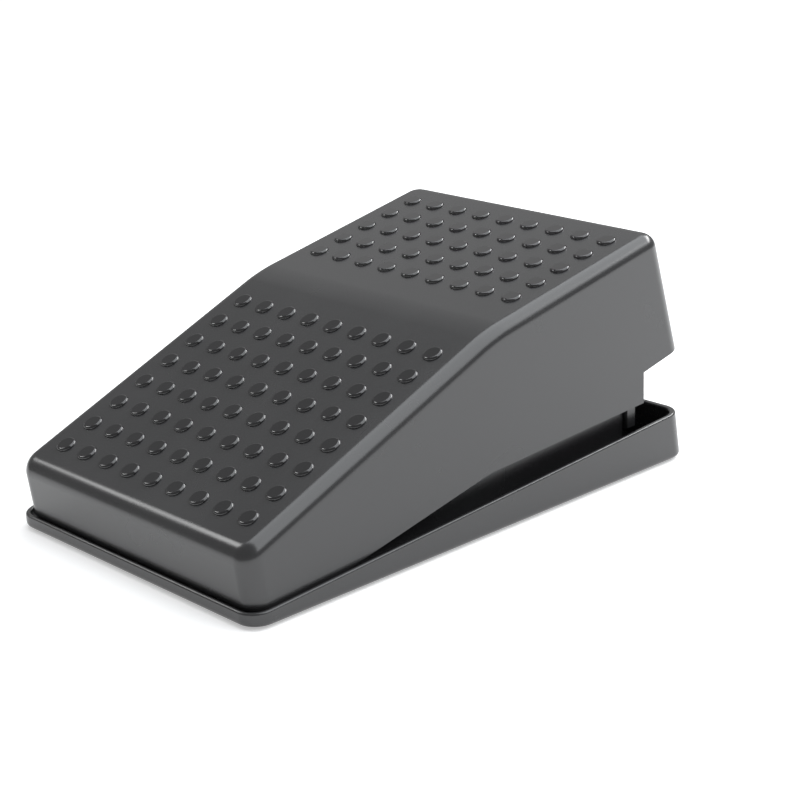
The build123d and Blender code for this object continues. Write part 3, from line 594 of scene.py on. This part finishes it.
studs = []
for slope, way, first, rows in (
    (FRONT_SLOPE, -1, FRONT_FIRST_ROW, FRONT_ROWS),
    (REAR_SLOPE, 1, REAR_FIRST_ROW, REAR_ROWS),
):
    panel = Matrix.Translation(bend) @ Matrix.Rotation(slope, 4, "X")
    for row in range(rows):
        for column in range(STUD_COLUMNS):
            across = (column - (STUD_COLUMNS - 1) / 2) * STUD_PITCH
            along = way * (first + row * STUD_PITCH)
            studs.append(copy_to(stud, panel @ Matrix.Translation((across, along, 0))))
bpy.data.objects.remove(stud)
print("studs:", len(studs))
studs = join(studs, "pedal_studs")

# %% [markdown]
# The tray is an open box with thin walls. Its rim slopes up to the rear and its rear wall leans in.
# It starts as a cube whose rear corners are pulled in and whose top is cut along the rim. Inset
# draws the thickness of the walls on that top, and Extrude takes the inside down to the floor.

# %% Model the tray
tray = add_box(
    "tray_shell", (-HALF_WIDTH, -HALF_LENGTH, TRAY_BOTTOM), (HALF_WIDTH, HALF_LENGTH, HEIGHT)
)
edit(tray)
pick("verts", lambda v: v.co.y > 0 and v.co.z > TRAY_FLOOR)
move((0, -(HEIGHT - TRAY_BOTTOM) * tan(TRAY_REAR_LEAN), 0))
bpy.ops.mesh.select_all(action="SELECT")
cut(Vector((0, 0, RIM_HEIGHT)), slope_normal(RIM_SLOPE))
pick("edges", upright)
bevel(TRAY_CORNER, 10)
pick("edges", lambda e: max(v.co.z for v in e.verts) < TRAY_BOTTOM + 0.01 * MM)
bevel(TRAY_FOOT_ROUND, 5)
pick("faces", lambda f: f.normal.z > 0.9)
bpy.ops.mesh.inset(thickness=TRAY_WALL, use_even_offset=True)
extra = TRAY_REAR_WALL - TRAY_WALL


def at_rear(vert):
    return vert.co.y > HALF_LENGTH - TRAY_CORNER - 3 * MM


pick("verts", at_rear, within=True)
move((0, -extra, -extra * tan(RIM_SLOPE)))
pick("faces", lambda f: f.normal.z > 0.9 and len(f.verts) > 4)
bpy.ops.mesh.extrude_region_move(TRANSFORM_OT_translate={"value": (0, 0, -MM)})
bpy.ops.transform.resize(value=(1, 1, 0), center_override=(0, 0, TRAY_FLOOR))
pick("verts", at_rear, within=True)
rear_rim_z = RIM_HEIGHT + HALF_LENGTH * tan(RIM_SLOPE)
move((0, (rear_rim_z - TRAY_FLOOR) * tan(TRAY_REAR_LEAN), 0))
rim_normal = slope_normal(RIM_SLOPE)


def on_tray_rim(edge):
    on_top = [face.normal.dot(rim_normal) > 0.999 for face in edge.link_faces]
    return sorted(on_top) == [False, True]


print("rim edges of the tray:", pick("edges", on_tray_rim))
bevel(RIM_ROUND, 4)
done()
report(tray)

# %% [markdown]
# Inside, the tray carries the hinge ears, four square posts for the circuit board, a small cross
# that keeps the spring in its place, and two inner walls that screen the works where the skirt
# stands clear of the rim. Under the floor it has a shallow recess for each rubber foot, and the
# rear wall has a notch for the grommet. Those two are cut out with Booleans, on a mesh that is
# still simple, and the rest is joined to the floor.

# %% Cut the recesses and the notch, and add what stands on the floor
FOOT_CLEARANCE = 0.15 * MM
FOOT_RECESS = 0.8 * MM
POST_SIZE = 4.6 * MM
SCREEN_WALL = 1.2 * MM
SCREEN_GAP = 0.85 * MM
SCREEN_OVERLAP = 1.2 * MM
SCREEN_FRONT_INSET = 7 * MM
SCREEN_REAR_INSET = 0.35 * MM
NOTCH_HALF = 2.8 * MM
GROMMET_RADIUS = 3.8 * MM
GROMMET_LIFT = 0.4 * MM
SCREW_HEAD_RADIUS = 1.9 * MM
FITTING_EDGE = 0.2 * MM

feet = [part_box(f"rubber_foot_{number}") for number in range(1, 5)]
recesses = []
for foot_low, foot_high in feet:
    radius = (foot_high.x - foot_low.x) / 2 + FOOT_CLEARANCE
    centre = ((foot_low.x + foot_high.x) / 2, (foot_low.y + foot_high.y) / 2, TRAY_BOTTOM)
    recesses.append(add_disc("recess", centre, radius, 2 * FOOT_RECESS))
combine(tray, recesses, "DIFFERENCE")
grommet_z = TRAY_FLOOR + GROMMET_LIFT + GROMMET_RADIUS
opening = add_box(
    "opening",
    (-NOTCH_HALF, HALF_LENGTH - 5 * MM, grommet_z - NOTCH_HALF),
    (NOTCH_HALF, HALF_LENGTH + 5 * MM, HEIGHT),
)
combine(tray, [opening], "DIFFERENCE")

board_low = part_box("circuit_board")[0]
screws_low, screws_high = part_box("board_screws")
post_x = screws_high.x - SCREW_HEAD_RADIUS
post_ys = (screws_low.y + SCREW_HEAD_RADIUS, screws_high.y - SCREW_HEAD_RADIUS)
standing = []
for side in (-1, 1):
    inner = pedal_ear_face - 2 * EAR_THICKNESS - EAR_GAP
    standing.append(ear("tray_ear", side, inner, TRAY_FLOOR - MM, pin_radius))
    screen_x = side * (PEDAL_INSIDE - SCREEN_GAP - SCREEN_WALL / 2)
    screen = add_box(
        "screen",
        (screen_x - SCREEN_WALL / 2, hinge.y + SCREEN_FRONT_INSET, TRAY_FLOOR - MM),
        (screen_x + SCREEN_WALL / 2, REAR_WALL_Y - PEDAL_WALL - SCREEN_REAR_INSET, HEIGHT),
    )
    edit(screen)
    for slope in (SKIRT_FRONT_SLOPE, SKIRT_REAR_SLOPE):
        bpy.ops.mesh.select_all(action="SELECT")
        cut(KINK + Vector((0, 0, SCREEN_OVERLAP)), slope_normal(slope))
    done()
    standing.append(screen)
    for post_y in post_ys:
        centre = Vector((side * post_x, post_y, 0))
        corner = Vector((POST_SIZE / 2, POST_SIZE / 2, 0))
        standing.append(
            add_box(
                "post",
                centre - corner + Vector((0, 0, TRAY_FLOOR - MM)),
                centre + corner + Vector((0, 0, board_low.z)),
            )
        )
for half_x, half_y in ((PEG_REACH, FIN / 2), (FIN / 2, PEG_REACH)):
    standing.append(
        add_box(
            "seat",
            (-half_x, spring_y - half_y, TRAY_FLOOR - MM),
            (half_x, spring_y + half_y, TRAY_FLOOR + PEG_HEIGHT),
        )
    )
standing = join(standing, "tray_fittings")
modify(standing, "BEVEL", width=FITTING_EDGE, segments=2, angle_limit=SHARP_ANGLE)
tray = join([tray, standing], "tray_shell")
report(tray)

# %% [markdown]
# The pieces that a person could unscrew or pull out come next. The rubber feet are pads with a soft
# lower edge. The return spring is a real helix of round wire: a small circle beside the axis gets a
# Screw modifier, which turns it about the axis and lifts it as it turns. Its ends are then closed.

# %% Model the feet and the return spring
FOOT_EDGE = 0.25 * MM

for number, (foot_low, foot_high) in enumerate(feet, start=1):
    radius = (foot_high.x - foot_low.x) / 2
    foot = add_disc(
        f"foot_pad_{number}", (foot_low + foot_high) / 2, radius, foot_high.z - foot_low.z, 40
    )
    edit(foot)
    pick("edges", lambda e: max(v.co.z for v in e.verts) < foot_low.z + 0.01 * MM)
    bevel(FOOT_EDGE, 4)
    done()

SPRING_WIRE = 1.0 * MM
SPRING_TURNS = 5
COIL_STEPS = 40
spring_radius = (spring_high.x - spring_low.x - SPRING_WIRE) / 2
spring_height = spring_high.z - spring_low.z - SPRING_WIRE
bpy.ops.object.select_all(action="DESELECT")
bpy.ops.mesh.primitive_circle_add(
    vertices=12, radius=SPRING_WIRE / 2, location=(spring_radius, 0, 0), rotation=(pi / 2, 0, 0)
)
spring = settle("coil_spring")
spring.location = (0, 0, 0)
modify(
    spring,
    "SCREW",
    iterations=SPRING_TURNS,
    steps=COIL_STEPS,
    render_steps=COIL_STEPS,
    screw_offset=spring_height / SPRING_TURNS,
    use_smooth_shade=True,
)
edit(spring)
bpy.ops.mesh.select_all(action="SELECT")
bpy.ops.mesh.fill_holes(sides=12)
bpy.ops.mesh.normals_make_consistent(inside=False)
bpy.ops.mesh.select_all(action="SELECT")
move((0, spring_y, spring_low.z + SPRING_WIRE / 2))
done()
report(spring)

# %% [markdown]
# The small works on the circuit board are right in the frame already, but their edges are as sharp
# as a drawing's. Light shows a real edge as a thin bright line, so each of them is dressed in a
# copy: the loose triangles are merged, the seams inside its flat faces dissolved, and a narrow
# bevel is run along the edges that are left. The copy stands for the node, which stays hidden.


# %% Dress the small pieces
def dress(node, width, segments=2):
    """A merged copy of a CAD node with softened edges."""
    bpy.ops.object.select_all(action="DESELECT")
    source = frame["nodes"][node]
    piece = bpy.data.objects.new(f"{node}_look", source.data.copy())
    bpy.context.collection.objects.link(piece)
    edit(piece)
    bpy.ops.mesh.select_all(action="SELECT")
    bpy.ops.mesh.remove_doubles(threshold=0.001 * MM)
    bpy.ops.mesh.dissolve_limited(angle_limit=radians(1))
    done()
    modify(piece, "BEVEL", width=width, segments=segments, angle_limit=radians(35))
    smooth(piece)
    return piece


looks = {
    node: dress(node, width)
    for node, width in (
        ("cable_grommet", 0.3 * MM),
        ("hinge_pin", 0.25 * MM),
        ("pin_retaining_rings", 0.1 * MM),
        ("circuit_board", 0.1 * MM),
        ("board_screws", 0.12 * MM),
        ("switch_body", 0.2 * MM),
        ("switch_terminals", 0.05 * MM),
        ("switch_plunger", 0.1 * MM),
        ("switch_lever", 0.08 * MM),
        ("lever_pin", 0.05 * MM),
        ("controller_chip", 0.06 * MM),
        ("chip_leads", 0.03 * MM),
        ("crystal", 0.2 * MM),
        ("ceramic_capacitors", 0.04 * MM),
        ("resistors", 0.04 * MM),
        ("electrolytic_capacitor", 0.3 * MM),
        ("cable_header", 0.1 * MM),
        ("header_pins", 0.05 * MM),
    )
}
print("dressed:", len(looks), "pieces")

# %% [markdown]
# Materials are small graphs of nodes. Writing them node by node hides the idea in wiring, so one
# class wraps an output socket and lets it be added and multiplied like a number. Everything else
# goes through its one method that adds a node. All patterns read Object coordinates, which are
# metres here, so a noise scale of 4000 has grains of about a quarter of a millimetre.


# %% A way to write node graphs as sums
class Wire:
    """An output socket of a material, which adds Math nodes when it is used in a sum."""

    def __init__(self, tree, socket=None):
        self.tree = tree
        self.socket = socket

    def node(self, kind, settings=None, inputs=None, output=0):
        """Add a node: first its settings, then the values or links of its sockets."""
        made = self.tree.nodes.new(f"ShaderNode{kind}")
        for name, value in (settings or {}).items():
            if name == "stops":
                for stop, (place, colour) in zip(made.color_ramp.elements, value):
                    stop.position, stop.color = place, (*colour, 1)
            else:
                setattr(made, name, value)
        for name, value in (inputs or {}).items():
            if isinstance(value, Wire):
                self.tree.links.new(value.socket, made.inputs[name])
            else:
                made.inputs[name].default_value = value
        return Wire(self.tree, made.outputs[output] if made.outputs else None)

    def math(self, operation, first, second=0.0):
        return self.node("Math", {"operation": operation}, {0: first, 1: second})

    def between(self, low, high):
        """This value's place between two limits, from 0 to 1."""
        return self.node(
            "MapRange", {"clamp": True}, {"Value": self, "From Min": low, "From Max": high}
        )

    def __add__(self, other):
        return self.math("ADD", self, other)

    def __sub__(self, other):
        return self.math("SUBTRACT", self, other)

    def __rsub__(self, other):
        return self.math("SUBTRACT", other, self)

    def __mul__(self, other):
        return self.math("MULTIPLY", self, other)

    __radd__ = __add__
    __rmul__ = __mul__


def start_material(name):
    """A new material's empty tree as a Wire, with its Object coordinates."""
    material = bpy.data.materials.new(name)
    material.use_nodes = True
    material.node_tree.nodes.clear()
    wire = Wire(material.node_tree)
    return material, wire.node("TexCoord", output="Object")


def noise(place, scale, detail=2.0):
    return place.node("TexNoise", None, {"Vector": place, "Scale": scale, "Detail": detail})


def blend_colours(factor, first, second):
    """A Mix node. Its colour sockets share their names with others, so they go by number."""
    first = (*first, 1) if isinstance(first, tuple) else first
    sockets = {0: factor, 6: first, 7: (*second, 1)}
    return factor.node("Mix", {"data_type": "RGBA"}, sockets, output=2)


def bump(height, distance, strength=1.0):
    return height.node("Bump", None, {"Height": height, "Distance": distance, "Strength": strength})


def finish_material(material, place, **sockets):
    """Feed a Principled shader. Names are written with _ for the spaces of the sockets."""
    inputs = {name.replace("_", " "): value for name, value in sockets.items()}
    shader = place.node("BsdfPrincipled", None, inputs)
    place.node("OutputMaterial", None, {"Surface": shader})
    return material


print("a wire makes its own Math nodes:", [name for name in vars(Wire) if name.startswith("__r")])

# %% [markdown]
# The whole outside is one material: black ABS from a spark-eroded mould. It is not black, but a
# very dark grey, and its skin is finely pitted, so highlights on the flats are wide and soft. The
# pits are a fine noise in the bump. A second, much larger noise moves the roughness a little, as
# handling does. The studs are worn and smoother than the panels, so they get their own, glossier
# version with less bump, and a darker colour that is painted shade on their tops.


# %% Moulded black plastic
def moulded_plastic(name, colour, roughness, grain, specular):
    material, place = start_material(name)
    pits = noise(place, 5200, 3.0)
    waves = noise(place, 900, 2.0)
    handling = noise(place, 60, 3.0)
    shade = blend_colours(
        handling, tuple(0.85 * part for part in colour), tuple(1.15 * part for part in colour)
    )
    height = pits * 0.7 + waves * 0.3
    return finish_material(
        material,
        place,
        Base_Color=shade,
        Roughness=roughness - 0.05 + handling * 0.1,
        Specular_IOR_Level=specular,
        Normal=bump(height, grain),
    )


black_shell = moulded_plastic("black_shell", (0.02, 0.02, 0.021), 0.26, 0.003 * MM, 0.78)
# The studs' colour is darker than the shell's, which is painted shade on the stud tops; their lower
# roughness is real.
black_studs = moulded_plastic("black_studs", (0.008, 0.008, 0.009), 0.12, 0.0005 * MM, 0.8)
print("plastics:", black_shell.name, black_studs.name)

# %% [markdown]
# The pieces inside show only when the cover is off, but each has its own finish. Rubber is dull and
# dusty. Bare metals are a light colour with full Metallic and a roughness broken by fine streaks.
# The board is green lacquer over glass cloth, whose weave shows as a faint grid.


# %% Rubber, metals and the board
def rubber(name, colour):
    material, place = start_material(name)
    dust = noise(place, 1500, 4.0).between(0.4, 0.75)
    shade = blend_colours(dust, colour, tuple(2.2 * part for part in colour))
    return finish_material(
        material,
        place,
        Base_Color=shade,
        Roughness=0.75 + dust * 0.15,
        Normal=bump(noise(place, 3500, 3.0), 0.01 * MM),
    )


def metal(name, colour, roughness, stretch=(1, 1, 0.08)):
    """Bare metal. The noise is drawn out along one axis into drawing or plating streaks."""
    material, place = start_material(name)
    drawn = place.node("Mapping", None, {"Vector": place, "Scale": stretch})
    streaks = noise(drawn, 5000, 3.0).between(0.3, 0.7)
    tarnish = noise(place, 700, 3.0).between(0.4, 0.7)
    shade = blend_colours(tarnish, colour, tuple(0.86 * part for part in colour))
    return finish_material(
        material,
        place,
        Base_Color=shade,
        Metallic=1.0,
        Roughness=roughness + streaks * 0.1 + tarnish * 0.06,
        Normal=bump(streaks, 0.002 * MM),
    )


def lacquered_board(name, lacquer, laminate):
    """Green lacquer on the faces, and the bare laminate on the sawn edges."""
    material, place = start_material(name)
    axes = place.node("SeparateXYZ", None, {"Vector": place})
    weave_x = axes.math("SINE", Wire(axes.tree, axes.socket.node.outputs["X"]) * 9000)
    weave_y = axes.math("SINE", Wire(axes.tree, axes.socket.node.outputs["Y"]) * 9000)
    weave = (weave_x * weave_y).between(-1, 1)
    facing = place.node("NewGeometry", output="Normal")
    up = place.node("SeparateXYZ", None, {"Vector": facing}, output="Z")
    edge = (1 - place.math("ABSOLUTE", up)).between(0.3, 0.6)
    face = blend_colours(weave, lacquer, tuple(1.25 * part for part in lacquer))
    return finish_material(
        material,
        place,
        Base_Color=blend_colours(edge, face, laminate),
        Roughness=0.25 + edge * 0.4,
        Coat_Weight=(1 - edge) * 0.4,
        Normal=bump(weave, 0.002 * MM),
    )


finishes = {
    "foot_rubber": rubber("foot_rubber", (0.018, 0.018, 0.018)),
    "grommet_rubber": rubber("grommet_rubber", (0.024, 0.024, 0.024)),
    "pin_steel": metal("pin_steel", (0.62, 0.62, 0.63), 0.2, (0.05, 1, 1)),
    "spring_steel": metal("spring_steel", (0.5, 0.51, 0.53), 0.28),
    "screw_steel": metal("screw_steel", (0.7, 0.69, 0.67), 0.22),
    "switch_steel": metal("switch_steel", (0.66, 0.67, 0.68), 0.3, (0.05, 1, 1)),
    "terminal_metal": metal("terminal_metal", (0.72, 0.7, 0.65), 0.25),
    "tinned_leads": metal("tinned_leads", (0.72, 0.72, 0.72), 0.35, (0.1, 1, 1)),
    "crystal_can": metal("crystal_can", (0.74, 0.74, 0.73), 0.18, (0.1, 1, 1)),
    "board_green": lacquered_board("board_green", (0.02, 0.18, 0.07), (0.45, 0.42, 0.25)),
    "switch_case": moulded_plastic("switch_case", (0.03, 0.03, 0.035), 0.45, 0.004 * MM, 0.5),
    "switch_button": moulded_plastic("switch_button", (0.6, 0.06, 0.05), 0.35, 0.002 * MM, 0.5),
    "chip_black": moulded_plastic("chip_black", (0.03, 0.03, 0.03), 0.55, 0.004 * MM, 0.5),
    "ceramic_tan": moulded_plastic("ceramic_tan", (0.45, 0.33, 0.2), 0.5, 0.004 * MM, 0.5),
    "resistor_black": moulded_plastic("resistor_black", (0.04, 0.04, 0.04), 0.3, 0.002 * MM, 0.5),
    "capacitor_sleeve": moulded_plastic("capacitor_sleeve", (0.03, 0.05, 0.12), 0.25, 0.001 * MM, 0.5),
    "header_nylon": moulded_plastic("header_nylon", (0.8, 0.78, 0.7), 0.5, 0.003 * MM, 0.5),
}
print("finishes:", ", ".join(sorted(finishes)))

# %% [markdown]
# Every piece now gets its finish, rides on the body that carries it, and stands for its node. The
# record names the finish of each node, and the frame knows the body of each node, so one loop
# serves all the dressed pieces. The spring gets a mesh of its own.

# %% Attach every piece to the frame
slot_of = {part["node"]: part["material_slot"] for part in frame["record"]["subparts"]}
body_of = {
    node: body for body, nodes in frame["record"]["behaviour"]["bodies"].items() for node in nodes
}


def attach(piece, node, material):
    piece.data.materials.clear()
    piece.data.materials.append(material)
    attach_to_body(piece, body_of[node])
    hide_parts(node)


for node, piece in looks.items():
    attach(piece, node, finishes[slot_of[node]])
for number in range(1, 5):
    foot = bpy.data.objects[f"foot_pad_{number}"]
    smooth(foot)
    attach(foot, f"rubber_foot_{number}", finishes["foot_rubber"])
smooth(pedal, SHARP_ANGLE)
smooth(tray, SHARP_ANGLE)
smooth(studs, STUD_SHARP_ANGLE)
attach(pedal, "pedal_cover", black_shell)
attach(studs, "pedal_cover", black_studs)
attach(tray, "base_tray", black_shell)
attach(spring, "return_spring", finishes["spring_steel"])

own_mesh(spring)

# %% [markdown]
# The stage is a pale floor that runs out of sight in a plain dim room. A white floor under black
# plastic does much of the lighting: it is what the side of the pedal mirrors.

# %% Floor and room
bpy.ops.object.select_all(action="DESELECT")
bpy.ops.mesh.primitive_plane_add(size=12)
floor = settle("floor")
material, place = start_material("floor_white")
ray = place.node("LightPath").socket.node.outputs
camera_ray, glossy_ray, transmission_ray = (
    Wire(place.tree, ray[f"Is {kind} Ray"]) for kind in ("Camera", "Glossy", "Transmission")
)
seen = place.math("MINIMUM", camera_ray + glossy_ray + transmission_ray, 1.0)
FLOOR_GLOW = 0.4
paper = place.node("BsdfDiffuse", None, {"Color": (0.8, 0.8, 0.8, 1)})
glow = place.node("Emission", None, {"Color": (1, 1, 1, 1), "Strength": FLOOR_GLOW})
lit = place.node("AddShader", None, {0: paper, 1: glow})
mixed = place.node("MixShader", None, {0: seen, 1: paper, 2: lit})
place.node("OutputMaterial", None, {"Surface": mixed})
floor.data.materials.append(material)
floor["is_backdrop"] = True

world = bpy.data.worlds.new("room")
bpy.context.scene.world = world
world.use_nodes = True
world.node_tree.nodes.clear()
room = Wire(world.node_tree)
ROOM_LEVEL = 0.35
ray = room.node("LightPath", output="Is Camera Ray")
level = ray * (1 - ROOM_LEVEL) + ROOM_LEVEL
background = room.node("Background", None, {"Color": (1, 1, 1, 1), "Strength": level})
room.node("OutputWorld", None, {"Surface": background})
print("floor glow", FLOOR_GLOW, "and room level", ROOM_LEVEL)

# %% [markdown]
# The lamps are soft boxes, as in a product photographer's room. A large one overhead draws the grey
# band along the rim. A long narrow one behind at the right puts the crescents on the studs, one
# at the left and in front answers it from the other side, and a weak one at the left and behind is
# what the rear panel mirrors, so that it reads a little lighter than the front one.


# %% Lamps
def soft_box(name, turn, height, distance, size, radiance):
    """A rectangular lamp in a compass direction, set by how bright its face is."""
    turn, height = radians(turn), radians(height)
    way = Vector((cos(height) * cos(turn), cos(height) * sin(turn), sin(height)))
    lamp = bpy.data.lights.new(name, "AREA")
    lamp.shape = "RECTANGLE"
    lamp.size, lamp.size_y = size
    lamp.energy = radiance * pi * size[0] * size[1]
    holder = bpy.data.objects.new(name, lamp)
    bpy.context.collection.objects.link(holder)
    holder.location = way * distance
    holder.rotation_euler = way.to_track_quat("Z", "Y").to_euler()
    return holder


overhead = soft_box("overhead", 0, 90, 0.6, (1.4, 0.8), 2.35)
overhead.location += Vector((0.35, 0.27, 0))
overhead.rotation_euler = (0, 0, 0)
overhead.data.color = (0.94, 0.97, 1.0)
soft_box("left_front", -156, 40, 0.75, (0.2, 0.2), 6.0)
soft_box("right_back", 80, 38, 0.8, (0.6, 0.13), 13.0)
soft_box("left_back", 142, 29, 0.8, (0.5, 0.3), 0.26)

# %% [markdown]
# The camera stands where the photograph was taken from. Its place, its target and its lens were
# found by fitting the grid of studs, whose pitch is known, to the photograph. The camera was held a
# little askew, so the view is rolled by two degrees.

# %% Camera
FITTED_PLACE = Vector((238.27, -208.04, 123.95)) * MM
FITTED_TARGET = Vector((0, 9.496, 14.011)) * MM
FITTED_LENS = 87.776
CAMERA_ROLL = radians(-2.258)

camera = bpy.data.objects.new("camera", bpy.data.cameras.new("camera"))
bpy.context.collection.objects.link(camera)
camera.data.sensor_width = 36
camera.data.lens = FITTED_LENS
camera.data.clip_start = 0.01
camera.location = FITTED_PLACE
aim = FITTED_TARGET - FITTED_PLACE
turn = aim.to_track_quat("-Z", "Y").to_matrix().to_4x4()
camera.rotation_euler = (turn @ Matrix.Rotation(CAMERA_ROLL, 4, "Z")).to_euler()
bpy.context.scene.camera = camera
bpy.context.scene.view_settings.view_transform = "Standard"
print("camera at", [round(c, 3) for c in camera.location])

# %% [markdown]
# Last, the box of the solid model and the box of the dressed one are compared, and the largest
# difference between them is printed. They have to agree, because the looks never change the size of
# the product.

# %% Compare the sizes and finish
look_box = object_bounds()
gaps = [abs(a - b) / MM for cad, look in zip(cad_box, look_box) for a, b in zip(cad, look)]
print("largest difference:", round(max(gaps), 3), "mm")
